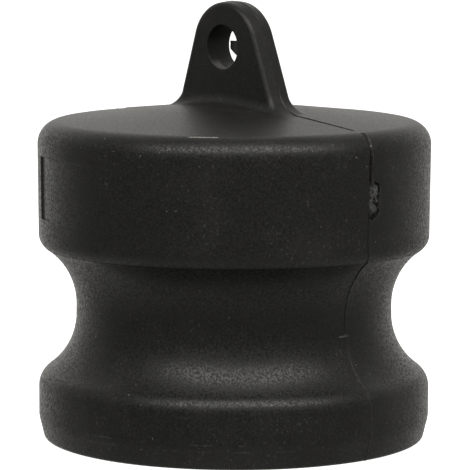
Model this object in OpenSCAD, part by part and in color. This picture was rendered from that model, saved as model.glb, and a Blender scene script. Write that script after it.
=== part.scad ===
// Dust plug for a cam and groove coupler, moulded in one piece with a hanging lug.
// It stands on its open nose, its axis is +Z, the lug lies in the XZ plane
// and the recessed panel looks towards -Y. All sizes are in millimetres.

/* [Bands] */
// Diameter of the nose band, the one that enters the coupler first
nose_d = 53.4; // [50:0.1:57]
// Diameter of the upper band at the top of its wall
collar_d = 53.6; // [50:0.1:58]
// Radius the upper band loses towards the groove, for release from the mould
collar_draft = 0.16; // [0:0.01:0.5]
// Height of the lead-in chamfer at the open end
lead_h = 3.1; // [1:0.1:5]
// Radius lost over the lead-in chamfer
lead_w = 0.75; // [0.2:0.05:2]
// Rounding at the outer edge of the open end
base_edge_r = 0.6; // [0.2:0.1:1]
// Rounding where the lead-in chamfer meets the nose band
lead_edge_r = 4; // [1:0.5:8]

/* [Cam groove] */
// Height of the middle of the groove above the open end
groove_z = 17.75; // [14:0.05:22]
// Depth of the groove below the nose band
groove_depth = 5.15; // [4:0.05:6.5]
// Straight length of the neck
neck_flat = 1.1; // [0.4:0.1:3]
// Radius of the groove's round bottom
groove_r = 9.5; // [7:0.1:11]
// Angle of the arc between the neck and the lower flank
lower_flank_angle = 54.8; // [45:0.1:65]
// Angle of the arc between the neck and the upper flank
upper_flank_angle = 57.2; // [45:0.1:65]
// Rounding between the lower flank and the nose band
lower_lip_r = 2.9; // [1:0.1:4]
// Rounding between the upper flank and the upper band
upper_lip_r = 2.2; // [1:0.1:4]

/* [Crown] */
// Height of the sharp rim corner, before it is rounded over
rim_z = 43.1; // [38:0.1:50]
// Rise of the conical crown from the rim corner to the axis
crown_rise = 3; // [0:0.1:6]
// Rounding of the shoulder between the upper band and the crown
shoulder_r = 3.1; // [1:0.1:5]

/* [Hollow underside] */
// Wall left between the neck and the cup's mouth
neck_wall = 2.55; // [1.5:0.05:6]
// Draft of the cup's wall
cup_draft = 1; // [0.5:0.1:3]
// Thickness of the end wall below the rim corner
end_wall = 4.5; // [3:0.1:8]
// Rounding between the cup's wall and its ceiling
cup_corner_r = 2.5; // [1:0.1:4]
// Chamfer at the cup's mouth
cup_mouth = 0.6; // [0.2:0.1:1.5]

/* [Lug] */
// Rise of the lug's top above the rim corner
lug_rise = 16.5; // [13:0.1:22]
// Radius of the lug's round top
lug_round_r = 6.4; // [5:0.1:8]
// Slope of the lug's sides away from the vertical
lug_taper = 19.6; // [5:0.1:25]
// Thickness of the lug between its two flat faces
lug_t = 4.1; // [3:0.1:6]
// Rounding of the lug's long edges
lug_edge_r = 0.7; // [0.4:0.1:1.2]
// Fall of the lug's narrow sides from the parting plane to the edge rounding
lug_side_fall = 0.15; // [0.05:0.01:0.4]
// Radius of the fillet at the ends of the lug's foot
foot_end_r = 2.7; // [1:0.1:4]
// Radius of the fillet along the flat faces of the lug's foot
foot_face_r = 1.5; // [0.8:0.1:2.5]

/* [Lug hole] */
// Diameter of the cord hole
hole_d = 6; // [4:0.1:8]
// Height of the hole's axis above the middle of the lug's round top
hole_offset = 0.2; // [-1:0.1:1]
// Chamfer at both mouths of the hole
hole_mouth = 0.15; // [0.1:0.05:0.6]

/* [Recessed panel] */
// Direction of the panel's deep end, counted from +X
panel_dir = -119.1; // [-130:0.1:-100]
// Angle from the deep end to the direction where the floor has run out of the band
panel_arc = 51; // [30:1:80]
// Drop from the rim corner to the panel's upper edge
panel_drop = 4.1; // [3:0.1:7]
// Height of the panel
panel_h = 8.4; // [4:0.1:10]
// Depth of the panel at its deep end
panel_depth = 0.3; // [0.1:0.05:0.8]

/* [Gate scar] */
// Drop from the rim corner to the scar's upper end
gate_drop = 6.2; // [4:0.1:9]
// Height of the scar
gate_h = 4.7; // [2:0.1:6]
// Angle the scar spans next to the parting plane
gate_arc = 3; // [1:0.1:5]
// Depth of the scar below the upper band
gate_depth = 0.7; // [0.2:0.1:1.5]

/* [Hidden] */
$fn = 144;

// Number of steps in each rounded corner of the turned outline
corner_steps = 8;
// Number of steps in each half of the groove's round bottom
groove_steps = 14;
// Overlap of a cutting shape beyond the surface it cuts
over = 1;

nose_r = nose_d / 2;
collar_r = collar_d / 2;
neck_r = nose_r - groove_depth;
groove_mid = neck_r + groove_r;

// Radius of the cup at its mouth, its ceiling and its radius there
cup_r = neck_r - neck_wall;
ceiling_z = rim_z - end_wall;
ceiling_r = cup_r - ceiling_z * tan(cup_draft);

// How far the panel's floor ends up outside the band, for a clear crossing
panel_rise = 0.02;

// Lower edges of the panel and the gate scar
panel_z = rim_z - panel_drop - panel_h;
gate_z = rim_z - gate_drop - gate_h;

// Top of the lug, the middle of its round top, and the hole's axis
lug_top_z = rim_z + lug_rise;
lug_round_z = lug_top_z - lug_round_r;
hole_z = lug_round_z + hole_offset;
// How far the lug's root reaches below the rim corner, into the crown
root_depth = 0.6;
// Half width of the small land at the top of the lug, and how far it lies below the full round
land = 0.4;
top_cut = 0.05;
// Half of the lug's thickness, and its part before the edge rounding
lug_half_t = lug_t / 2;
lug_side_t = lug_half_t - lug_edge_r;
// Full inset between the parting plane's outline and the flat face's outline
lug_inset = lug_side_fall + lug_edge_r;
// How far the foot's fillets start below the crown, for a clear crossing
foot_sink = 0.06;
// How far the lowest ring of the fillets lies below the crown at the foot's outer end
foot_margin = 0.5;

function unit(v) = v / norm(v);
function turn(a, b) = sign(a.x * b.y - a.y * b.x);

// Points along an arc round a middle point
function arc_points(mid, r, from, to, steps) =
    [for (i = [0 : steps])
        let (a = from + (to - from) * i / steps)
        mid + r * [cos(a), sin(a)]];

// Points of the rounding at corner q of the path p, q, s
function rounded(p, q, s, r) =
    let (
        u = unit(p - q),
        v = unit(s - q),
        half = acos(u * v) / 2,
        mid = q + unit(u + v) * r / sin(half),
        first = q + u * r / tan(half),
        from = atan2(first.y - mid.y, first.x - mid.x),
        sweep = (180 - 2 * half) * turn(q - p, s - q)
    )
    arc_points(mid, r, from, from + sweep, corner_steps);

// End of the groove's arc, where a straight flank starts
function flank_end(side, angle) =
    [groove_mid - groove_r * cos(angle), groove_z + side * (neck_flat / 2 + groove_r * sin(angle))];

// Corner where that flank reaches the radius r
function flank_corner(side, angle, r) =
    let (p = flank_end(side, angle))
    p + [r - p.x, side * (r - p.x) / tan(angle)];

// Height of the crown's cone at a distance r from the axis
function crown_z(r) = rim_z + crown_rise * (1 - r / collar_r);

// Outline of the turned body, from the axis at the open end up to the axis at the crown
function body_outline() =
    let (
        origin = [0, 0],
        base = [nose_r - lead_w, 0],
        lead = [nose_r, lead_h],
        lower_lip = flank_corner(-1, lower_flank_angle, nose_r),
        lower_end = flank_end(-1, lower_flank_angle),
        upper_end = flank_end(1, upper_flank_angle),
        upper_lip = flank_corner(1, upper_flank_angle, collar_r - collar_draft),
        rim = [collar_r, rim_z],
        apex = [0, crown_z(0)],
        lower_mid = [groove_mid, groove_z - neck_flat / 2],
        upper_mid = [groove_mid, groove_z + neck_flat / 2]
    )
    concat(
        [origin],
        rounded(origin, base, lead, base_edge_r),
        rounded(base, lead, lower_lip, lead_edge_r),
        rounded(lead, lower_lip, lower_end, lower_lip_r),
        arc_points(lower_mid, groove_r, 180 + lower_flank_angle, 180, groove_steps),
        arc_points(upper_mid, groove_r, 180, 180 - upper_flank_angle, groove_steps),
        rounded(upper_end, upper_lip, rim, upper_lip_r),
        rounded(upper_lip, rim, apex, shoulder_r),
        [apex]
    );

module turned_body() {
    rotate_extrude()
        polygon(body_outline());
}

// Drafted core that leaves the underside hollow
module cup() {
    wall = [cup_r - cup_mouth * tan(cup_draft), cup_mouth];
    flare = cup_mouth + over;
    ceiling = [0, ceiling_z];
    rotate_extrude()
        polygon(concat(
            [[0, -over], [wall.x + flare, -over], wall],
            rounded(wall, [ceiling_r, ceiling_z], ceiling, cup_corner_r),
            [ceiling]
        ));
}

// Radius of the upper band's drafted wall at height z
function band_r(z) =
    let (lip_z = flank_corner(1, upper_flank_angle, collar_r - collar_draft).y)
    collar_r - collar_draft * (rim_z - z) / (rim_z - lip_z);

// Shallow panel in the upper band. Its floor is a smaller cone set off towards the run-out,
// so that the depth grows from nothing there to its full value at the deep end.
module face_panel() {
    shift = (panel_depth + panel_rise) / (1 - cos(panel_arc));
    inset = shift - panel_rise;
    top_z = panel_z + panel_h;
    outer_r = collar_r + over;
    rotate([0, 0, panel_dir])
        translate([shift * cos(panel_arc), shift * sin(panel_arc), 0])
            rotate_extrude(angle = panel_arc)
                polygon([
                    [band_r(panel_z) - inset, panel_z],
                    [outer_r, panel_z],
                    [outer_r, top_z],
                    [band_r(top_z) - inset, top_z]
                ]);
}

// Shallow scar beside the parting plane, where the sprue broke away
module gate_scar() {
    floor_r = collar_r - gate_depth;
    rotate_extrude(angle = gate_arc)
        translate([floor_r, gate_z])
            square([gate_depth + over, gate_h]);
}

// Inset of the lug's edge from its outline at a distance y from the parting plane
function edge_inset(y) =
    y <= lug_side_t
        ? lug_side_fall * y / lug_side_t
        : lug_inset - sqrt(max(0, pow(lug_edge_r, 2) - pow(y - lug_side_t, 2)));

// Distance from the parting plane at which the edge reaches a given inset
function edge_reach(inset) =
    inset <= lug_side_fall
        ? inset * lug_side_t / lug_side_fall
        : lug_side_t + sqrt(max(0, pow(lug_edge_r, 2) - pow(lug_inset - inset, 2)));

// Half width of the lug at height z, for an outline drawn in by an inset
function lug_half_w(z, inset) =
    let (r = lug_round_r - inset, rise = z - lug_round_z)
    rise > r * sin(lug_taper)
        ? sqrt(max(0, r * r - rise * rise))
        : r / cos(lug_taper) - rise * tan(lug_taper);

// Largest distance from the parting plane that the lug has at height z
function lug_reach(z) =
    let (left = lug_round_r - norm([z - lug_round_z, land]))
    z > lug_round_z && left < lug_inset ? edge_reach(left) : lug_half_t;

// Fillet width at height z above a foot of radius r that starts at a level
function fillet_w(z, level, r) =
    let (k = min(r, max(0, level + r - z)))
    r - sqrt(r * r - k * k);

// Point of a lug ring moved outwards by the foot's fillet, facing the direction a
function footed(x, y, z, a) =
    let (
        r = foot_end_r * pow(cos(a), 2) + foot_face_r * pow(sin(a), 2),
        w = fillet_w(z, crown_z(norm([x, y])) - foot_sink, r)
    )
    [x + w * cos(a), y + w * sin(a), z];

// Samples round an edge: the direction faced and the distance from the parting plane
edge_samples = concat(
    [[0, 0], [atan(lug_side_fall / lug_side_t), lug_side_t]],
    [for (a = [25, 45, 65, 90]) [a, lug_side_t + lug_edge_r * sin(a)]]
);
// Shares of the half width at which a flat face is sampled
face_shares = [0.85, 0.6, 0.35, 0.12];

// A quarter of a lug ring at height z, from the parting plane to the middle of the face
function ring_quarter(z) =
    let (
        reach = lug_reach(z),
        face_x = lug_half_w(z, edge_inset(reach))
    )
    concat(
        [for (s = edge_samples)
            let (y = reach * s[1] / lug_half_t)
            footed(lug_half_w(z, edge_inset(y)), y, z, s[0])],
        [for (s = face_shares) footed(face_x * s, reach, z, 90)]
    );

function reversed(list) = [for (i = [len(list) - 1 : -1 : 0]) list[i]];
function without_first(list) = [for (i = [1 : len(list) - 1]) list[i]];

// A full ring, counterclockwise from +X
function ring(z) =
    let (
        q = ring_quarter(z),
        rest = without_first(q)
    )
    concat(
        q,
        [for (p = reversed(rest)) [-p.x, p.y, z]],
        [for (p = q) [-p.x, -p.y, z]],
        [for (p = reversed(rest)) [p.x, -p.y, z]]
    );

// Heights of the rings: the foot's fillets, the straight sides and the round top
foot_top_z = crown_z(0) + foot_end_r;
foot_low_z = crown_z(lug_half_w(rim_z, 0) + foot_end_r + over) - foot_margin;
ring_z = concat(
    [rim_z - root_depth],
    [for (i = [0 : 9]) foot_low_z + (foot_top_z - foot_low_z) * pow(i / 9, 1.3)],
    [foot_top_z + (lug_round_z - foot_top_z) / 2],
    [for (a = [0, lug_taper, 32, 44, 54, 62, 69, 75]) lug_round_z + lug_round_r * sin(a)],
    [lug_top_z - top_cut]
);

module lug_solid() {
    rings = [for (z = ring_z) ring(z)];
    n = len(rings[0]);
    last = (len(rings) - 1) * n;
    polyhedron(
        points = [for (r = rings) each r],
        faces = concat(
            [[for (i = [0 : n - 1]) i]],
            [for (k = [0 : len(rings) - 2]) for (i = [0 : n - 1])
                let (j = (i + 1) % n)
                [k * n + i, (k + 1) * n + i, (k + 1) * n + j, k * n + j]],
            [[for (i = [n - 1 : -1 : 0]) last + i]]
        )
    );
}

// Straight bore through the lug with a small chamfer at both mouths
module cord_hole() {
    half = lug_half_t;
    translate([0, 0, hole_z])
        rotate([90, 0, 0]) {
            cylinder(h = lug_t + 2 * over, d = hole_d, center = true);
            for (side = [0, 180])
                rotate([0, side, 0])
                    translate([0, 0, half - hole_mouth])
                        cylinder(h = hole_mouth + over, r1 = hole_d / 2, r2 = hole_d / 2 + hole_mouth + over);
        }
}

module dust_plug() {
    color([0.13, 0.13, 0.135])
        difference() {
            union() {
                turned_body();
                lug_solid();
            }
            cup();
            cord_hole();
            face_panel();
            gate_scar();
        }
}

dust_plug();
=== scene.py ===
"""Looks of the moulded dust plug: a fine mesh of its one moulding, with parting line,
gate scar and torn flash, in matte black plastic under plain studio light."""

import math

import bpy
import numpy as np
from mathutils import Matrix, Vector, noise


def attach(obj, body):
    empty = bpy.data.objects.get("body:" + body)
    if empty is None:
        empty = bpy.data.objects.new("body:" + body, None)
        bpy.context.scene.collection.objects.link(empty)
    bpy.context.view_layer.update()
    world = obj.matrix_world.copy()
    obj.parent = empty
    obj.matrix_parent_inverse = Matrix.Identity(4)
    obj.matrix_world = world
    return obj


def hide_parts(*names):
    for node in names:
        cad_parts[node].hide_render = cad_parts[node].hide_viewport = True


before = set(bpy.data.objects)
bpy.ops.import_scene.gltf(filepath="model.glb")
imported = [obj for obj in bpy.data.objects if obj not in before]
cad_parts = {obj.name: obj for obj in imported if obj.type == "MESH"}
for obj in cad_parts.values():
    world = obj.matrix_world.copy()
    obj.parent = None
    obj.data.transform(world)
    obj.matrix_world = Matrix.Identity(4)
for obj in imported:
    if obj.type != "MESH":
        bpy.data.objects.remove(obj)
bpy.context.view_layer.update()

# Lengths below are in millimetres and angles in degrees, as in the part's source.
MM = 0.001

# Bands, crown and hollow underside
NOSE_R = 26.7
COLLAR_R = 26.8
COLLAR_DRAFT = 0.16
LEAD_H = 3.1
LEAD_W = 0.75
BASE_EDGE_R = 0.6
LEAD_EDGE_R = 4.0
RIM_Z = 43.1
CROWN_RISE = 3.0
SHOULDER_R = 3.1
CUP_R = 19.0
CUP_DRAFT = 1.0
CUP_MOUTH = 0.6
CUP_CORNER_R = 2.5
CEILING_Z = RIM_Z - 4.5

# Cam groove
GROOVE_Z = 17.75
NECK_R = 21.55
NECK_FLAT = 1.1
GROOVE_R = 9.5
LOWER_FLANK = 54.8
UPPER_FLANK = 57.2
LOWER_LIP_R = 2.9
UPPER_LIP_R = 2.2

# Lug and its hole
LUG_TOP_Z = 59.55
LUG_ROUND_R = 6.4
LUG_ROUND_Z = 53.2
LUG_TAPER = 19.6
LUG_HALF_T = 2.05
LUG_EDGE_R = 0.7
LUG_SIDE_FALL = 0.15
LUG_SIDE_T = LUG_HALF_T - LUG_EDGE_R
LUG_INSET = LUG_SIDE_FALL + LUG_EDGE_R
LUG_LAND = 0.4
FOOT_END_R = 2.7
FOOT_FACE_R = 1.5
# Radius at which the search for the foot's level on the crown starts
FOOT_START_R = 9.0
# Lean of this one's lug, in mm of sideways shift for each mm of height above the level given
LUG_LEAN = -0.033
LUG_LEAN_Z = 50.0
HOLE_R = 3.0
HOLE_Z = 53.4
HOLE_MOUTH_R = 0.09
HOLE_SHIFT = -0.15

# Recessed panel on the upper band, its floor set off so that it runs out towards +X
PANEL_DIR = -119.1
PANEL_ARC = 51.0
PANEL_Z = 30.6
PANEL_H = 8.4
PANEL_DEPTH = 0.3
PANEL_RISE = 0.02
PANEL_EDGE = 0.07

# Gate scar beside the parting plane. The cracks round its torn stub are paths of points, each with
# the distance from the parting plane and the height above the scar's lower end.
GATE_Z = 32.2
GATE_H = 4.7
GATE_W = 1.4
GATE_SHIFT = -0.42
GATE_CRACK = [(0.8, 4.7), (1.37, 4.5), (1.48, 3.6), (1.3, 2.83), (1.24, 2.3), (1.26, 1.4), (1.4, 0.9)]
GATE_TONGUE = [(1.26, 1.75), (0.68, 2.12)]
GATE_POCKET = [(1.12, 0.58), (0.5, 0.3)]
GATE_NOTCH = [(0.3, 4.45), (0.34, 4.05)]
GATE_SLIVER = [(0.3, 3.8), (0.74, 2.85), (1.0, 2.35)]

# Parting line: the levels between which it is closed, the depth of its groove and the height of
# the ridge beside it at some levels, its widest level and half width, and the ridge's place
SEAM_GAP = (43.25, 43.32, 43.53, 43.56)
SEAM_LEVELS = [4, 14, 16, 17.5, 27, 36.5, 37.5, 40.2, 40.8, *SEAM_GAP, 45, 47.5, 49, 56, 58, 60]
SEAM_DEPTHS = [0, 0, 0.02, 0.12, 0.14, 0.16, 0.34, 0.34, 0.24, 0.24, 0, 0, 0.2, 0.16, 0.07, 0, 0, 0.15, 0.15]
SEAM_RIDGES = [0.05, 0.05, 0.05, 0.03, 0.035, 0.04, 0.05, 0.06, 0.09, 0.09, 0, 0, 0.03, 0.03, 0, 0, 0, 0, 0]
SEAM_WIDE_Z = 38.9
SEAM_HALF_W = 0.085
SEAM_WIDENING = 0.08
SEAM_STRAY = 0.05
RIDGE_OFFSET = 0.24
RIDGE_HALF_W = 0.1
# How far this one's line strays from its plane along Y on the +X side, at some levels
DRIFT_LEVELS = [0, 8, 12, 24, 27.5, 29.5, 32, 37, 40, 42, 43.2]
DRIFTS = [-0.3, -0.3, 0, 0, -0.6, -0.82, -0.75, -0.5, -0.42, -0.3, 0]
# Step between the two halves at the line: its height, how far it reaches, and the levels between
# which it rises and falls away
STEP_H = 0.045
STEP_REACH = 1.1
STEP_RISES = (17, 20)
STEP_FALLS = (44.5, 46.5)

# Where the relief of the parting line is worked out: near its plane, and outside the crown's
# middle or high enough to be on the lug
NEAR_SEAM = 3.5
UNDER_LUG_R = 8.5
ON_LUG_RISE = 2.5

# Small flash mark across the parting line, in the groove
TICK_Z = 16.1
TICK_HALF_W = 0.95
TICK_H = 0.2

# Slow waviness of the moulded surface
WAVE_H = 0.012
WAVE_SIZE = 6.0

# Torn film in the hole, as points from the hole's middle in the parting plane: its torn edge from
# the top down, its upper edge from the wall in, and the directions between which it grows on the wall
FILM_T = 0.11
FILM_ROOT = 0.15
FILM_TEAR = [(-0.56, 0.76), (-0.5, 0.3), (-0.56, 0.0), (-0.52, -0.34), (-0.2, -0.6), (0.3, -0.95),
             (0.9, -1.3), (1.4, -1.62)]
FILM_CREST = [(2.4, 1.0), (1.5, 0.86), (0.6, 0.8)]
FILM_FROM = -34
FILM_TO = 20

# Rings and columns of the fine mesh
SEAM_STEPS = (0, 0.05, 0.1, 0.16, 0.24, 0.34, 0.46, 0.6, 0.75, 0.9, 1.05, 1.2)
GATE_STEPS = tuple(k * 0.047 for k in range(28))
GATE_SPREAD = 1.5
EDGE_STEP = 11.25
AROUND_STEPS = 56
GATE_RING_STEP = 0.1
BAND_RING_STEP = 0.9
PANEL_RINGS = (-0.16, -0.06, 0, 0.06, 0.16)

# Colours and roughness of the plastic
BLACK_DARK = (0.006, 0.006, 0.0058)
BLACK_LIGHT = (0.018, 0.018, 0.0173)
BLACK_WORN = (0.025, 0.0247, 0.0235)
DUST = (0.30, 0.29, 0.27)
LINT = (0.07, 0.07, 0.067)
# This scuff colour also paints a speckled sheen on the crown's edge
SCUFF_AND_SHEEN = (0.10, 0.10, 0.096)
SCRATCHED = (0.55, 0.54, 0.51)
# Painted highlight for the bottom of the hole
BORE_HIGHLIGHT = (0.17, 0.168, 0.16)
# Painted shade for the parting line's groove, a little brown
SEAM_SHADE = (0.012, 0.007, 0.004)
TORN = (0.117, 0.117, 0.111)
ROUGH_LOW = 0.30
ROUGH_HIGH = 0.60
ROUGH_CROWN = 0.46

# Marks on this one: scuffed rings by level, the scratched edge of the crown by radius and direction, a ring
# on the crown's edge that is partly scuffing and partly painted sheen, and a painted highlight on the bottom
# of the hole by its distance from the parting plane
SCUFF_RINGS = (2.5, 3.4)
CROWN_SCUFF_SHEEN_R = 24.1
SCRATCH_R = 24.55
SCRATCH_DIR = -52.0
SCRATCH_ARC = 5.2
BORE_HIGHLIGHT_DEPTH = 1.25
# How far the parting line's painted shade sits off its plane
SEAM_SHADE_SHIFT = -0.42

# Camera, fitted to the photograph. The lens is 0.4% longer than the fit's 248.8, since the bright
# background eats about 0.65 px into the edges of the rendered plug.
VIEW_AZIMUTH = 47.4
VIEW_ELEVATION = 7.473
VIEW_PITCH = 7.14
VIEW_ROLL = 0.15
VIEW_DISTANCE = 446.0
VIEW_AIM_Z = 25.0
VIEW_LENS = 249.8
VIEW_SENSOR = 36.0
VIEW_SHIFT_X = 0.0019

# Stage and light, in metres and watts
FLOOR_REACH = 4.0
BACKDROP_H = 3.0
SKY_TINT = (1.0, 0.985, 0.94)
SKY_FRONT = 0.165
SKY_BACK = 1.15
SKY_FALL = 2.4
SKY_TURN = 3.0
SKY_RIGHT = 0.07
SKY_BELOW = 0.42
STRIP_TURN = 6.0
STRIP_ELEVATION = 57.0
STRIP_DISTANCE = 0.57
STRIP_WIDTH = 0.95
STRIP_DEPTH = 0.27
STRIP_POWER = 2.9


def sin_d(a):
    return math.sin(math.radians(a))


def cos_d(a):
    return math.cos(math.radians(a))


def tan_d(a):
    return math.tan(math.radians(a))


def smooth(a, b, x):
    """0 below a, 1 above b, and a smooth rise between them."""
    t = np.clip((x - a) / (b - a), 0, 1)
    return t * t * (3 - 2 * t)


# Turned outline

def arc_points(mid, r, start, end, steps):
    a = np.radians(np.linspace(start, end, steps + 1))
    return [mid + r * np.array([math.cos(t), math.sin(t)]) for t in a]


def rounded(p, q, s, r, steps):
    """Points of the rounding of radius r at corner q of the path p, q, s."""
    p, q, s = (np.array(v, float) for v in (p, q, s))
    u = (p - q) / np.linalg.norm(p - q)
    v = (s - q) / np.linalg.norm(s - q)
    half = math.degrees(math.acos(u @ v)) / 2
    mid = q + (u + v) / np.linalg.norm(u + v) * r / sin_d(half)
    first = q + u * r / tan_d(half)
    start = math.degrees(math.atan2(*(first - mid)[::-1]))
    way = math.copysign(1, (q - p)[0] * (s - q)[1] - (q - p)[1] * (s - q)[0])
    return arc_points(mid, r, start, start + (180 - 2 * half) * way, steps)


def flank_end(side, angle):
    return np.array([NECK_R + GROOVE_R - GROOVE_R * cos_d(angle),
                     GROOVE_Z + side * (NECK_FLAT / 2 + GROOVE_R * sin_d(angle))])


def flank_corner(side, angle, r):
    p = flank_end(side, angle)
    return p + np.array([r - p[0], side * (r - p[0]) / tan_d(angle)])


def crown_z(r):
    return RIM_Z + CROWN_RISE * (1 - r / COLLAR_R)


def spaced(points, step):
    """The path with points added so that none of its spans is longer than step."""
    out = [points[0]]
    for a, b in zip(points[:-1], points[1:]):
        n = max(1, math.ceil(np.linalg.norm(b - a) / step))
        out += [a + (b - a) * k / n for k in range(1, n + 1)]
    return out


def body_path():
    """Radius and height pairs from the shoulder's start on the crown down to the base,
    and then up into the hollow underside."""
    mid_r = NECK_R + GROOVE_R
    apex, rim = (0, crown_z(0)), (COLLAR_R, RIM_Z)
    upper_lip = flank_corner(1, UPPER_FLANK, COLLAR_R - COLLAR_DRAFT)
    lower_lip = flank_corner(-1, LOWER_FLANK, NOSE_R)
    lead, base = (NOSE_R, LEAD_H), (NOSE_R - LEAD_W, 0)

    shoulder = rounded(apex, rim, upper_lip, SHOULDER_R, 12)
    lip = rounded(rim, upper_lip, flank_end(1, UPPER_FLANK), UPPER_LIP_R, 8)
    (top_r, top_z), (low_r, low_z) = shoulder[-1], lip[0]
    band = [np.array([np.interp(z, [low_z, top_z], [low_r, top_r]), z]) for z in band_heights(top_z, low_z)]
    upper_mid, lower_mid = (np.array([mid_r, GROOVE_Z + d * NECK_FLAT / 2]) for d in (1, -1))
    tick_arc = math.degrees((lower_mid[1] - TICK_Z) / GROOVE_R)
    groove = (arc_points(upper_mid, GROOVE_R, 180 - UPPER_FLANK, 180, 14)
              + arc_points(lower_mid, GROOVE_R, 180 + tick_arc - 2, 180 + tick_arc + 2, 9)
              + arc_points(lower_mid, GROOVE_R, 180 + tick_arc + 5, 180 + LOWER_FLANK, 13))
    nose = (rounded(flank_end(-1, LOWER_FLANK), lower_lip, lead, LOWER_LIP_R, 9)
            + rounded(lower_lip, lead, base, LEAD_EDGE_R, 4)
            + rounded(lead, base, (0, 0), BASE_EDGE_R, 5))
    mouth = np.array([CUP_R - CUP_MOUTH * tan_d(CUP_DRAFT), CUP_MOUTH])
    mouth_edge = mouth + np.array([CUP_MOUTH, -CUP_MOUTH])
    ceiling = np.array([CUP_R - CEILING_Z * tan_d(CUP_DRAFT), CEILING_Z])
    cup = ([mouth_edge, mouth] + rounded(mouth, ceiling, (0, CEILING_Z), CUP_CORNER_R, 6)
           + [np.array([0.5, CEILING_Z])])
    return (shoulder + band + spaced(lip + groove + nose, 1.5)
            + spaced([nose[-1]] + cup, 4.0)[1:])


def band_heights(top, bottom):
    """Ring heights inside the upper band: close at the panel's edges and along the gate scar."""
    edges = [z + d for z in (PANEL_Z, PANEL_Z + PANEL_H) for d in PANEL_RINGS]
    scar = list(np.arange(GATE_Z - 0.3, GATE_Z + GATE_H + 0.3, GATE_RING_STEP))
    plain = list(np.arange(bottom + 0.5, top - 0.3, BAND_RING_STEP))
    kept = []
    for z in sorted(edges + scar + plain, reverse=True):
        if bottom + 0.05 < z < top - 0.05 and (not kept or kept[-1] - z > 0.05):
            kept.append(z)
    return kept


# Lug, as in the part's source

def edge_inset(y):
    """How far the lug's edge lies inside its outline at a distance y from the parting plane."""
    k = np.sqrt(np.maximum(0, LUG_EDGE_R ** 2 - np.maximum(0, y - LUG_SIDE_T) ** 2))
    return np.where(y <= LUG_SIDE_T, LUG_SIDE_FALL * y / LUG_SIDE_T, LUG_INSET - k)


def edge_reach(inset):
    """Distance from the parting plane at which the edge reaches an inset."""
    k = np.sqrt(np.maximum(0, LUG_EDGE_R ** 2 - np.maximum(0, LUG_INSET - inset) ** 2))
    return np.where(inset <= LUG_SIDE_FALL, inset * LUG_SIDE_T / LUG_SIDE_FALL, LUG_SIDE_T + k)


def lug_half_w(z, inset):
    r, rise = LUG_ROUND_R - inset, z - LUG_ROUND_Z
    on_round = np.sqrt(np.maximum(0, r * r - rise * rise))
    on_side = r / cos_d(LUG_TAPER) - rise * tan_d(LUG_TAPER)
    return np.where(rise > r * sin_d(LUG_TAPER), on_round, on_side)


def quarter_columns(side_steps, spread=1.0, body_edge=None):
    """Columns of a quarter turn. Each has the share of the lug's half thickness, the direction it
    faces on the lug, the share of the flat face's half width, and its direction round the body.
    Spread widens the side's steps on the body, and they stand closer together round a body edge."""
    fall = math.degrees(math.atan(LUG_SIDE_FALL / LUG_SIDE_T))
    side = [(y / LUG_HALF_T, fall * min(1, y), 1.0,
             math.degrees(math.asin(spread * y / COLLAR_R))) for y in side_steps]
    turn = [((LUG_SIDE_T + LUG_EDGE_R * sin_d(a)) / LUG_HALF_T, max(a, fall), 1.0,
             math.degrees(math.asin((spread * LUG_SIDE_T + 0.013 * a) / COLLAR_R)))
            for a in np.arange(0, 91, EDGE_STEP)]
    start = turn[-1][3]
    around = list(np.linspace(start, 90, AROUND_STEPS + 1)[1:-1])
    if body_edge is not None:
        around = [a for a in around if abs(a - body_edge) > 1.1]
        around += [body_edge + d for d in (-0.9, -0.45, -0.2, 0, 0.2, 0.45, 0.9)]
    face = [(1.0, 90.0, (90 - a) / (90 - start), a) for a in sorted(around)]
    return side + turn + face + [(1.0, 90.0, 0.0, 90.0)]


def full_columns():
    """All columns counterclockwise from +X: a quarter's values and the signs of x and y."""
    plain = quarter_columns(SEAM_STEPS)
    by_gate = quarter_columns(GATE_STEPS, GATE_SPREAD)
    by_panel = quarter_columns(SEAM_STEPS, body_edge=PANEL_DIR + 180)
    return ([(*c, 1, 1) for c in by_gate] + [(*c, -1, 1) for c in plain[-2:0:-1]]
            + [(*plain[0], -1, 1)] + [(*c, -1, -1) for c in by_panel[1:-1]]
            + [(*plain[-1], 1, -1)] + [(*c, 1, -1) for c in plain[-2:0:-1]])


def lean(z):
    return LUG_LEAN * (z - LUG_LEAN_Z)


def drift(z):
    return np.interp(z, DRIFT_LEVELS, DRIFTS)


def lug_point(z, column):
    """Point of the lug's surface at height z, before the foot's fillet."""
    t_share, _, x_share, _, sx, sy = column
    left = LUG_ROUND_R - math.hypot(z - LUG_ROUND_Z, LUG_LAND)
    reach = float(edge_reach(left)) if z > LUG_ROUND_Z and left < LUG_INSET else LUG_HALF_T
    y = reach * t_share
    x = float(lug_half_w(z, edge_inset(y))) * x_share
    return np.array([sx * x + lean(z), sy * y, z])


def foot_point(column, turn):
    """Point of the foot's fillet, turn degrees from the lug's wall towards the crown."""
    facing = column[1]
    r = FOOT_END_R * cos_d(facing) ** 2 + FOOT_FACE_R * sin_d(facing) ** 2
    way = np.array([column[4] * cos_d(facing), column[5] * sin_d(facing), 0])
    level = crown_z(FOOT_START_R)
    for _ in range(4):
        z = level + r * (1 - sin_d(turn))
        end = lug_point(level, column) + way * r
        level = crown_z(math.hypot(end[0], end[1]))
    z = level + r * (1 - sin_d(turn))
    return lug_point(z, column) + way * r * (1 - cos_d(turn))


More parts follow.
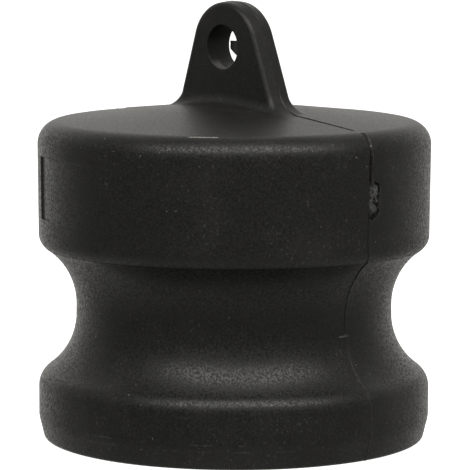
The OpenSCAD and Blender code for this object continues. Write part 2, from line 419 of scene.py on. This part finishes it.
def plug_rings():
    """Rings from the top of the lug to the middle of the cup's ceiling, as an array of points."""
    columns = full_columns()
    tangent_z = LUG_ROUND_Z + LUG_ROUND_R * sin_d(LUG_TAPER)
    top_angle = math.degrees(math.asin((LUG_TOP_Z - LUG_ROUND_Z) / LUG_ROUND_R))
    rings = []
    for a in np.linspace(top_angle, LUG_TAPER, 24):
        z = LUG_ROUND_Z + LUG_ROUND_R * sin_d(a)
        rings.append([lug_point(z, c) for c in columns])
    feet = [foot_point(c, 0) for c in columns]
    for t in np.linspace(0, 1, 8)[1:-1]:
        rings.append([lug_point(tangent_z + (f[2] - tangent_z) * t, c) for f, c in zip(feet, columns)])
    for turn in np.linspace(0, 90, 11):
        rings.append([foot_point(c, turn) for c in columns])
    path = body_path()
    quarter = np.radians([c[3] for c in columns])
    around = np.arctan2(np.sin(quarter) * [c[5] for c in columns], np.cos(quarter) * [c[4] for c in columns])
    plan = np.stack([np.cos(around), np.sin(around)], 1)
    at_seam = 1 - smooth(0.1, 0.5, np.abs(around))
    foot_end = np.array(rings[-1])[:, :2]
    for t in 1 - (1 - np.linspace(0, 1, 18)[1:-1]) ** 1.5:
        xy = foot_end * (1 - t) + plan * path[0][0] * t
        z = crown_z(np.hypot(xy[:, 0], xy[:, 1]))
        rings.append(np.column_stack([xy, z]))
    for r, z in path:
        turned = around + drift(z) / r * at_seam
        rings.append(np.column_stack([r * np.cos(turned), r * np.sin(turned), np.full(len(turned), z)]))
    return np.array(rings, float)


# Relief: what moulding left on the surface

def wander(points, size, seed):
    """Smooth noise between about -1 and 1 with features of the given size."""
    shift = Vector((seed * 7.3, seed * 3.1, seed * 5.7))
    return np.array([noise.noise(Vector(p) / size + shift) for p in points])


def path_distance(u, v, path):
    """Distance of each point (u, v) from a path of straight pieces."""
    best = np.full(len(u), 1e9)
    for (u0, v0), (u1, v1) in zip(path[:-1], path[1:]):
        du, dv = u1 - u0, v1 - v0
        t = np.clip(((u - u0) * du + (v - v0) * dv) / (du * du + dv * dv), 0, 1)
        best = np.minimum(best, np.hypot(u - u0 - t * du, v - v0 - t * dv))
    return best


def seam_relief(p, r):
    """A fine groove in the parting plane with one half standing a little proud beside it. It is
    closed at the shoulder's start, and below the tick only a faint raised line is left."""
    z = p[:, 2]
    along = wander(p * [0.3, 0, 1], 2.5, 1)
    stray = SEAM_STRAY * wander(p * [0.3, 0, 1], 4.0, 2)
    d = p[:, 1] - drift(z) * (p[:, 0] > 0) - stray
    cut_depth = np.interp(z, SEAM_LEVELS, SEAM_DEPTHS)
    ridge_height = np.interp(z, SEAM_LEVELS, SEAM_RIDGES)
    wide = SEAM_HALF_W + SEAM_WIDENING * np.exp(-((z - SEAM_WIDE_Z) / 1.5) ** 2)
    cut = -cut_depth * np.exp(-(d / wide) ** 2) * (1 + 0.4 * along)
    ridge = ridge_height * np.exp(-((d - RIDGE_OFFSET) / RIDGE_HALF_W) ** 2) * (1 + 0.8 * along)
    proud = STEP_H * np.exp(-np.maximum(d, 0) / STEP_REACH) * (d > 0)
    proud *= smooth(*STEP_RISES, z) * (1 - smooth(*STEP_FALLS, z))
    closed = smooth(*SEAM_GAP[:2], z) * (1 - smooth(*SEAM_GAP[2:], z))
    return cut + ridge + proud * (1 - closed)


def tick_relief(p):
    """A short flash mark across the parting line."""
    y, z = p[:, 1], p[:, 2]
    tilt = z - TICK_Z - 0.12 * y
    ends = 1 - smooth(TICK_HALF_W - 0.2, TICK_HALF_W, np.abs(y + 0.1))
    return TICK_H * np.exp(-(tilt / 0.14) ** 2) * ends


def gate_relief(p):
    """The broken sprue: a torn stub, cracked away along one side and below."""
    u, v = p[:, 1] - GATE_SHIFT, p[:, 2] - GATE_Z
    rough = wander(p, 0.42, 3) + 0.6 * wander(p, 0.2, 4)
    ragged = 1 + 0.7 * wander(p, 0.6, 5)
    crack = 0.42 * (1 - smooth(0.05, 0.16, path_distance(u, v, GATE_CRACK) * ragged))
    tongue = 0.45 * (1 - smooth(0.1, 0.22, path_distance(u, v, GATE_TONGUE) * ragged))
    pocket = 0.5 * (1 - smooth(0.26, 0.42, path_distance(u, v, GATE_POCKET) * ragged))
    notch = 0.2 * (1 - smooth(0.04, 0.15, path_distance(u, v, GATE_NOTCH) * ragged))
    sliver = 0.16 * (1 - smooth(0.1, 0.3, path_distance(u, v, GATE_SLIVER)))
    on_stub = smooth(-0.05, 0.2, u) * (1 - smooth(1.0, 1.3, u))
    on_stub *= smooth(0.7, 1.1, v) * (1 - smooth(4.0, 4.6, v))
    rim = 0.05 * np.exp(-((u - GATE_W - 0.25) / 0.14) ** 2) * smooth(0, 0.5, v) * (1 - smooth(4.2, 4.7, v))
    return on_stub * (0.02 + 0.08 * rough) + sliver + rim - np.maximum.reduce([crack, tongue, pocket, notch])


def panel_relief(p, r):
    """The shallow recessed panel, from its deep end to where its floor runs out."""
    angle = (np.degrees(np.arctan2(p[:, 1], p[:, 0])) - PANEL_DIR + 180) % 360 - 180
    shift = (PANEL_DEPTH + PANEL_RISE) / (1 - cos_d(PANEL_ARC))
    to_end = np.radians(PANEL_ARC - angle)
    floor_r = shift * np.cos(to_end) + np.sqrt(np.maximum(0, (r - shift + PANEL_RISE) ** 2
                                                          - (shift * np.sin(to_end)) ** 2))
    edge = PANEL_EDGE
    inside = smooth(-edge, 5 * edge, np.radians(angle) * r) * (angle < PANEL_ARC)
    inside *= smooth(-edge, edge, p[:, 2] - PANEL_Z)
    inside *= smooth(-edge, edge, PANEL_Z + PANEL_H - p[:, 2])
    return -inside * np.clip(r - floor_r, 0, PANEL_DEPTH + 0.1)


def relief(p):
    """Height of the surface above the smooth form at points p, zero inside the hollow."""
    r, z = np.hypot(p[:, 0], p[:, 1]), p[:, 2]
    height = WAVE_H * wander(p, WAVE_SIZE, 6)
    on_band = (r > NECK_R + 4) & (z > PANEL_Z - 1)
    height[on_band] += panel_relief(p[on_band], r[on_band])
    near = np.abs(p[:, 1]) < NEAR_SEAM
    on_seam = near & ((r > UNDER_LUG_R) | (z > RIM_Z + ON_LUG_RISE))
    height[on_seam] += seam_relief(p[on_seam], r[on_seam])
    in_front = near & (p[:, 0] > 0) & (r > NECK_R - 1)
    at_tick = in_front & (np.abs(z - TICK_Z) < 1)
    height[at_tick] += tick_relief(p[at_tick])
    at_gate = in_front & (np.abs(z - GATE_Z - GATE_H / 2) < GATE_H / 2 + 0.8)
    height[at_gate] += gate_relief(p[at_gate])
    hollow = (r < NECK_R - 1.0) & (z < CEILING_Z + 0.5)
    return np.where(hollow, 0, height)


def grid_normals(g):
    along = np.roll(g, -1, 1) - np.roll(g, 1, 1)
    down = np.empty_like(g)
    down[1:-1] = g[2:] - g[:-2]
    down[0], down[-1] = g[1] - g[0], g[-1] - g[-2]
    n = np.cross(down, along)
    return n / np.maximum(np.linalg.norm(n, axis=2, keepdims=True), 1e-9)


def mesh_object(name, vertices, faces):
    mesh = bpy.data.meshes.new(name)
    mesh.from_pydata([tuple(v * MM) for v in vertices], [], faces)
    mesh.validate()
    mesh.update()
    obj = bpy.data.objects.new(name, mesh)
    bpy.context.scene.collection.objects.link(obj)
    return obj


def closed_grid(rings):
    """Faces of a grid of rings closed at both ends."""
    rows, n = len(rings), len(rings[0])
    faces = [(k * n + i, (k + 1) * n + i, (k + 1) * n + (i + 1) % n, k * n + (i + 1) % n)
             for k in range(rows - 1) for i in range(n)]
    return [tuple(range(n))] + faces + [tuple(range(rows * n - 1, (rows - 1) * n - 1, -1))]


def bore_cutter():
    """A turned cutter through the lug with round mouths, its axis along Y."""
    flare = LUG_HALF_T - HOLE_MOUTH_R
    arc = [(HOLE_R + HOLE_MOUTH_R * (1 - cos_d(a)), flare + HOLE_MOUTH_R * sin_d(a))
           for a in range(0, 91, 18)]
    half = arc + [(HOLE_R + HOLE_MOUTH_R + 0.5, LUG_HALF_T + 1.0)]
    path = [(r, -y) for r, y in half[::-1]] + half
    turns = np.radians(np.arange(0, 360, 4))
    middle = lean(HOLE_Z) + HOLE_SHIFT
    rings = [[np.array([r * math.cos(t) + middle, y, HOLE_Z + r * math.sin(t)]) for t in turns]
             for r, y in path]
    return mesh_object("bore_cutter", [v for ring in rings for v in ring], closed_grid(rings))


def build_plug():
    g = plug_rings()
    flat = g.reshape(-1, 3)
    height = relief(flat).reshape(g.shape[0], g.shape[1], 1)
    shaped = g + grid_normals(g) * height
    shaped[:, :, 2] = np.maximum(shaped[:, :, 2], 0)
    plug = mesh_object("plug_moulding", shaped.reshape(-1, 3), closed_grid(shaped))
    cutter = bore_cutter()
    cut = plug.modifiers.new("bore", "BOOLEAN")
    cut.operation, cut.solver, cut.object = "DIFFERENCE", "MANIFOLD", cutter
    done = bpy.data.meshes.new_from_object(plug.evaluated_get(bpy.context.evaluated_depsgraph_get()))
    plug.modifiers.clear()
    plug.data = done
    bpy.data.objects.remove(cutter)
    done.shade_smooth()
    done.set_sharp_from_angle(angle=math.radians(40))
    return plug


def build_flash():
    """Torn film of plastic left in the hole where the two core pins met, in the parting plane."""
    wall = HOLE_R + FILM_ROOT
    middle = lean(HOLE_Z) + HOLE_SHIFT
    root = [(wall * cos_d(a), wall * sin_d(a)) for a in np.linspace(FILM_FROM, FILM_TO, 8)]
    outline = FILM_TEAR + root + FILM_CREST
    n = len(outline)
    front = [np.array([x + middle, -FILM_T / 2, HOLE_Z + z]) for x, z in outline]
    back = [np.array([x + middle, FILM_T / 2, HOLE_Z + z]) for x, z in outline]
    faces = [tuple(range(n)), tuple(range(2 * n - 1, n - 1, -1))]
    faces += [(i, i + n, (i + 1) % n + n, (i + 1) % n) for i in range(n)]
    return mesh_object("hole_flash", front + back, faces)


# Material

def node(tree, kind, **values):
    n = tree.nodes.new(kind)
    for key, value in values.items():
        setattr(n, key, value)
    return n


def link(tree, a, b):
    tree.links.new(a, b)


class Shade:
    """Short names for the shader nodes that the plastic uses."""

    def __init__(self, tree):
        self.tree = tree
        self.place = node(tree, "ShaderNodeTexCoord").outputs["Object"]

    def value(self, target, source):
        if isinstance(source, tuple):
            target.default_value = (*source, 1)
        elif isinstance(source, (int, float)):
            target.default_value = source
        else:
            link(self.tree, source, target)

    def noise(self, scale, detail=2.0, rough=0.5, stretch=None):
        n = node(self.tree, "ShaderNodeTexNoise")
        n.inputs["Scale"].default_value = scale
        n.inputs["Detail"].default_value = detail
        n.inputs["Roughness"].default_value = rough
        source = self.place
        if stretch is not None:
            m = node(self.tree, "ShaderNodeMapping")
            m.inputs["Scale"].default_value = stretch
            link(self.tree, source, m.inputs["Vector"])
            source = m.outputs["Vector"]
        link(self.tree, source, n.inputs["Vector"])
        return n.outputs["Fac"]

    def span(self, source, low, high, at_low=0.0, at_high=1.0):
        n = node(self.tree, "ShaderNodeMapRange", interpolation_type="SMOOTHSTEP")
        for name, v in (("From Min", low), ("From Max", high), ("To Min", at_low), ("To Max", at_high)):
            n.inputs[name].default_value = v
        link(self.tree, source, n.inputs["Value"])
        return n.outputs["Result"]

    def math(self, operation, *sources):
        n = node(self.tree, "ShaderNodeMath", operation=operation)
        for target, source in zip(n.inputs, sources):
            self.value(target, source)
        return n.outputs["Value"]

    def times(self, first, *others):
        for other in others:
            first = self.math("MULTIPLY", first, other)
        return first

    def mix(self, factor, a, b):
        n = node(self.tree, "ShaderNodeMix", data_type="RGBA")
        self.value(n.inputs["Factor"], factor)
        self.value(n.inputs[6], a)
        self.value(n.inputs[7], b)
        return n.outputs[2]

    def bump(self, height, strength, distance, normal=None):
        n = node(self.tree, "ShaderNodeBump")
        n.inputs["Strength"].default_value = strength
        n.inputs["Distance"].default_value = distance
        link(self.tree, height, n.inputs["Height"])
        if normal is not None:
            link(self.tree, normal, n.inputs["Normal"])
        return n.outputs["Normal"]

    def near(self, source, middle, half):
        """1 within half of the middle, falling to 0 at twice that distance."""
        return self.span(self.math("ABSOLUTE", self.math("SUBTRACT", source, middle)), 2 * half, half)


class Spot:
    """Where a point of the plug is: its place along each axis, its distance from the axis, whether
    it is on the crown, and the fine and the broad noise that several marks share."""

    def __init__(self, k):
        axes = node(k.tree, "ShaderNodeSeparateXYZ")
        link(k.tree, k.place, axes.inputs[0])
        self.x, self.y, self.z = axes.outputs
        self.radius = k.math("SQRT", k.math("ADD", k.times(self.x, self.x), k.times(self.y, self.y)))
        self.on_crown = k.span(self.z, (RIM_Z - 1) * MM, RIM_Z * MM)
        self.grain = k.noise(3600, 3.0, 0.6)
        self.cloud = k.noise(130, 4.0, 0.6)


def grained(k, at):
    """Fine mottling of the black, with paler clouds where the surface is worn."""
    tone = k.mix(k.span(at.grain, 0.35, 0.7), BLACK_DARK, BLACK_LIGHT)
    return k.mix(k.span(at.cloud, 0.45, 0.75, 0.0, 0.6), tone, BLACK_WORN)


def dusted(k, at, tone):
    """Faint lint in patches, and a few clusters of pale specks."""
    lint = k.times(k.span(k.noise(2400, 1.0, 0.5), 0.64, 0.74), k.span(at.cloud, 0.42, 0.6))
    tone = k.mix(k.times(lint, 0.7), tone, LINT)
    clusters = k.span(k.noise(210, 2.0), 0.5, 0.62)
    specks = k.times(k.span(k.noise(1900, 1.0, 0.4), 0.75, 0.8), clusters)
    return k.mix(k.times(specks, 0.6), tone, DUST)


def scuffs_and_edge_sheen(k, at):
    """Broken streaks round the plug and two scuffed rings on the nose, and a ring on the crown's edge that
    is partly scuffing and partly painted sheen.
    """
    streaks = k.span(k.noise(60, 5.0, 0.7, (1, 1, 13)), 0.62, 0.74)
    scuffed = k.times(streaks, k.span(k.noise(95, 2.0), 0.5, 0.66))
    patchy = k.span(k.noise(150, 4.0, 0.75), 0.5, 0.62)
    for level in SCUFF_RINGS:
        ring = k.near(at.z, level * MM, 0.06 * MM)
        scuffed = k.math("MAXIMUM", scuffed, k.times(ring, patchy))
    # Partly scuffing, partly painted sheen: pale specks in a ring on the crown's edge
    crown_scuff_sheen_ring = k.times(k.near(at.radius, CROWN_SCUFF_SHEEN_R * MM, 0.1 * MM), at.on_crown)
    broken_up = k.span(k.noise(160, 5.0, 0.8), 0.54, 0.66)
    return k.math("MAXIMUM", scuffed, k.times(crown_scuff_sheen_ring, broken_up))


def scratch(k, at):
    """A short bright scratch along the crown's edge."""
    along_x, along_y = k.times(at.x, cos_d(SCRATCH_DIR)), k.times(at.y, sin_d(SCRATCH_DIR))
    ahead = k.math("DIVIDE", k.math("ADD", along_x, along_y), at.radius)
    in_arc = k.span(ahead, cos_d(SCRATCH_ARC), cos_d(SCRATCH_ARC * 0.7))
    line = k.times(k.near(at.radius, SCRATCH_R * MM, 0.06 * MM), at.on_crown)
    return k.times(line, in_arc, k.span(at.grain, 0.3, 0.6, 0.3, 1.0))


def seam_painted_shade(k, at):
    """Painted shade, a little brown, in the widest stretch of the parting line's groove."""
    return k.times(k.near(at.y, SEAM_SHADE_SHIFT * MM, 0.13 * MM), k.near(at.z, SEAM_WIDE_Z * MM, 0.9 * MM))


def tick_mark(k, at):
    """The flash mark across the parting line in the groove."""
    place = k.times(k.near(at.y, -0.1 * MM, 0.5 * MM), k.near(at.z, TICK_Z * MM, 0.08 * MM))
    return k.times(place, k.math("GREATER_THAN", at.x, NECK_R * 0.9 * MM))


def gate_stub(k, at):
    """The torn face of the gate's stub."""
    across = k.near(at.y, (GATE_W / 2 - 0.1 + GATE_SHIFT) * MM, 0.5 * MM)
    place = k.times(across, k.near(at.z, (GATE_Z + GATE_H / 2 + 0.4) * MM, 1.1 * MM))
    return k.times(place, k.math("GREATER_THAN", at.x, NECK_R * MM))


def bore_painted_highlight(k, at):
    """A painted highlight on the bottom of the hole, towards its front mouth."""
    from_axis = k.math("SUBTRACT", at.x, (lean(HOLE_Z) + HOLE_SHIFT) * MM)
    below_axis = k.math("SUBTRACT", at.z, HOLE_Z * MM)
    squares = k.math("ADD", k.times(from_axis, from_axis), k.times(below_axis, below_axis))
    on_wall = k.near(k.math("SQRT", squares), HOLE_R * MM, 0.06 * MM)
    highlight_mask = k.times(on_wall, k.span(below_axis, -1.6 * MM, -2.8 * MM))
    highlight_mask = k.times(highlight_mask, k.near(at.y, -BORE_HIGHLIGHT_DEPTH * MM, 0.45 * MM))
    return k.times(highlight_mask, k.span(at.cloud, 0.3, 0.6, 0.6, 1.0))


def torn_film(k, at):
    """The film of plastic left in the hole."""
    place = k.times(k.near(at.y, 0.0, 0.06 * MM), k.near(at.z, HOLE_Z * MM, 1.0 * MM))
    return k.times(place, k.near(at.x, 1.2 * MM, 1.0 * MM))


def sheen(k, at, scuffed, on_stub):
    """Roughness: finely uneven, evener on the crown, and duller on scuffs and on the torn stub."""
    rough = k.span(k.noise(3300, 2.0, 0.6), 0.38, 0.62, ROUGH_LOW, ROUGH_HIGH)
    evened = k.times(k.math("SUBTRACT", ROUGH_CROWN, rough), k.times(at.on_crown, 0.75))
    dull = k.math("MAXIMUM", k.times(scuffed, 0.75), k.times(on_stub, 0.8))
    return k.math("MAXIMUM", k.math("ADD", rough, evened), dull)


def grain_bumps(k):
    """Eroded-mould grain in three sizes."""
    fine = k.bump(k.noise(5200, 3.0, 0.7), 0.5, 0.00003)
    pitted = k.bump(k.noise(1900, 2.0, 0.6), 0.35, 0.00005, fine)
    return k.bump(k.noise(240, 2.0, 0.5), 0.08, 0.00010, pitted)


def plastic():
    """Matte black moulded plastic with its marks of moulding and use, painted shade in the parting line,
    painted sheen on the crown's edge and a painted highlight in the hole.
    """
    mat = bpy.data.materials.new("black_plastic")
    mat.use_nodes = True
    t = mat.node_tree
    shader = t.nodes["Principled BSDF"]
    k = Shade(t)
    at = Spot(k)
    scuffed, on_stub = scuffs_and_edge_sheen(k, at), gate_stub(k, at)

    tone = dusted(k, at, grained(k, at))
    # The scuffed mask also holds the ring of painted sheen on the crown's edge
    tone = k.mix(k.times(scuffed, 0.4), tone, SCUFF_AND_SHEEN)
    tone = k.mix(scratch(k, at), tone, SCRATCHED)
    # Painted shade darkens the parting line's groove where it is widest
    tone = k.mix(k.times(seam_painted_shade(k, at), 0.85), tone, SEAM_SHADE)
    tone = k.mix(k.times(tick_mark(k, at), 0.7), tone, TORN)
    tone = k.mix(k.times(on_stub, k.span(k.noise(2600, 2.0), 0.32, 0.6)), tone, TORN)
    # Painted highlight on the bottom of the hole near its front mouth
    tone = k.mix(bore_painted_highlight(k, at), tone, BORE_HIGHLIGHT)
    tone = k.mix(k.times(torn_film(k, at), 0.6), tone, TORN)
    link(t, tone, shader.inputs["Base Color"])
    link(t, sheen(k, at, scuffed, on_stub), shader.inputs["Roughness"])
    link(t, grain_bumps(k), shader.inputs["Normal"])
    shader.inputs["Specular IOR Level"].default_value = 0.5
    return mat


# Stage, light and camera

def view_direction(azimuth):
    return Vector((sin_d(azimuth), -cos_d(azimuth), 0))


def plain_white(name, light, glow):
    """White for the stage: light is its albedo and glow the light it gives off."""
    mat = bpy.data.materials.new(name)
    mat.use_nodes = True
    shader = mat.node_tree.nodes["Principled BSDF"]
    shader.inputs["Base Color"].default_value = (light, light, light, 1)
    shader.inputs["Roughness"].default_value = 0.9
    shader.inputs["Specular IOR Level"].default_value = 0.0
    shader.inputs["Emission Color"].default_value = (1, 1, 1, 1)
    shader.inputs["Emission Strength"].default_value = glow
    return mat


def build_floor():
    """The floor and a round backdrop far behind it, which add no light of their own to the plug."""
    turns = [view_direction(a) * FLOOR_REACH for a in range(0, 360, 15)]
    n = len(turns)
    points = turns + [p + Vector((0, 0, BACKDROP_H)) for p in turns]
    faces = [tuple(range(n))] + [(i, (i + 1) % n, (i + 1) % n + n, i + n) for i in range(n)]
    mesh = bpy.data.meshes.new("floor")
    mesh.from_pydata(points, [], faces)
    floor = bpy.data.objects.new("floor", mesh)
    bpy.context.scene.collection.objects.link(floor)
    mesh.materials.append(plain_white("floor_white", 0.8, 1.0))
    floor.visible_diffuse = False
    floor.visible_glossy = False
    floor.visible_shadow = False
    return floor


def build_world():
    """Soft surroundings: bright behind the plug at low height, dim on the camera's side and overhead."""
    world = bpy.data.worlds.new("studio")
    bpy.context.scene.world = world
    world.use_nodes = True
    t = world.node_tree
    sky = t.nodes["Background"]
    sky.inputs["Color"].default_value = (*SKY_TINT, 1)
    k = Shade(t)
    way = node(t, "ShaderNodeTexCoord").outputs["Generated"]

    def facing(azimuth):
        dot = node(t, "ShaderNodeVectorMath", operation="DOT_PRODUCT")
        dot.inputs[1].default_value = view_direction(azimuth)
        link(t, way, dot.inputs[0])
        return k.math("MAXIMUM", dot.outputs["Value"], 0.0)

    behind = k.math("POWER", facing(VIEW_AZIMUTH + 180 + SKY_TURN), SKY_FALL)
    level = k.math("MULTIPLY_ADD", behind, SKY_BACK - SKY_FRONT, SKY_FRONT)
    beside = k.math("POWER", facing(VIEW_AZIMUTH + 90), 2.0)
    level = k.math("MULTIPLY_ADD", beside, SKY_RIGHT, level)
    axes = node(t, "ShaderNodeSeparateXYZ")
    link(t, way, axes.inputs[0])
    below = k.span(axes.outputs["Z"], -0.1, -0.8)
    floor_share = k.math("MULTIPLY", below, SKY_BELOW)
    level = k.math("MULTIPLY_ADD", level, k.math("SUBTRACT", 1.0, below), floor_share)
    link(t, level, sky.inputs["Strength"])


def soft_box(name, place, aim, width, depth, power):
    light = bpy.data.lights.new(name, "AREA")
    light.shape, light.size, light.size_y, light.energy = "RECTANGLE", width, depth, power
    light.color = SKY_TINT
    lamp = bpy.data.objects.new(name, light)
    bpy.context.scene.collection.objects.link(lamp)
    lamp.location = place
    lamp.rotation_euler = (Vector(aim) - Vector(place)).to_track_quat("-Z", "Y").to_euler()
    return lamp


def build_lights():
    """One long soft box, high in front of the plug and nearly square to the camera's view."""
    middle = Vector((0, 0, 0.03))
    azimuth = VIEW_AZIMUTH + STRIP_TURN
    away = view_direction(azimuth) * cos_d(STRIP_ELEVATION) + Vector((0, 0, sin_d(STRIP_ELEVATION)))
    strip = soft_box("strip", middle + STRIP_DISTANCE * away, middle, STRIP_WIDTH, STRIP_DEPTH, STRIP_POWER)
    strip.rotation_euler = (math.radians(90 - STRIP_ELEVATION), 0, math.radians(azimuth))


def build_camera():
    data = bpy.data.cameras.new("camera")
    data.sensor_width, data.lens, data.shift_x = VIEW_SENSOR, VIEW_LENS, VIEW_SHIFT_X
    data.clip_start, data.clip_end = 0.01, 20.0
    camera = bpy.data.objects.new("camera", data)
    bpy.context.scene.collection.objects.link(camera)
    back = view_direction(VIEW_AZIMUTH)
    aim = Vector((0, 0, VIEW_AIM_Z))
    place = aim + VIEW_DISTANCE * (back * cos_d(VIEW_ELEVATION) + Vector((0, 0, sin_d(VIEW_ELEVATION))))
    look = -back * cos_d(VIEW_PITCH) - Vector((0, 0, sin_d(VIEW_PITCH)))
    roll = Matrix.Rotation(math.radians(VIEW_ROLL), 4, "Z")
    turn = look.to_track_quat("-Z", "Y").to_matrix().to_4x4()
    camera.matrix_world = Matrix.Translation(place * MM) @ turn @ roll
    bpy.context.scene.camera = camera


build_camera()
black = plastic()
plug = build_plug()
flash = build_flash()
for piece in (plug, flash):
    piece.data.materials.clear()
    piece.data.materials.append(black)
    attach(piece, "root")
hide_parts("dust_plug")

build_floor()
build_world()
build_lights()
bpy.context.scene.view_settings.view_transform = "Standard"
